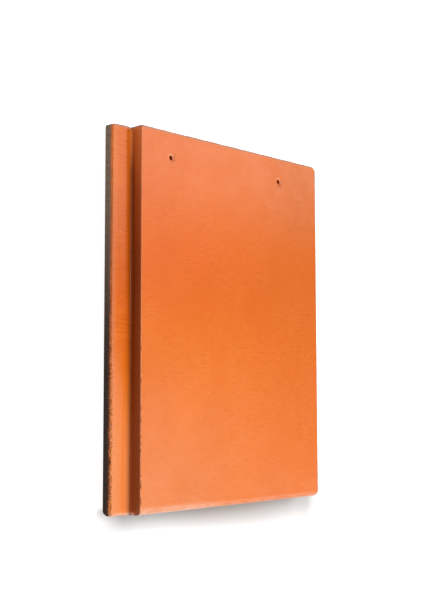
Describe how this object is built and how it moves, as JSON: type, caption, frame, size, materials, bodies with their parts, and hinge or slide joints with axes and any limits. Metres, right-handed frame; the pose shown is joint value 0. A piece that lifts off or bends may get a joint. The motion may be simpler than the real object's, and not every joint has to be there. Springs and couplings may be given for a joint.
{
  "type": "flat interlocking roof tile",
  "caption": "Flat orange roof tile with a stepped side-lock flange, a rounded tail, nail holes near the head, and hanging nibs and weather bars on its back.",
  "frame": {"origin": "centre of the overall outline (flange included), on the level that the tile lies on: the soles of the nibs and of the tail weather bar", "axes": "+X across the tile from the lock flange to the overlapping edge, +Y along the tile from tail to head, +Z out of the weathered face"},
  "size_m": [0.33, 0.42, 0.035],
  "materials": {
    "tile_body": "matt, smooth orange face over a grey-brown granular body"
  },
  "bodies": {
    "root": {"roof_tile": "tile_body"}
  },
  "joints": []
}
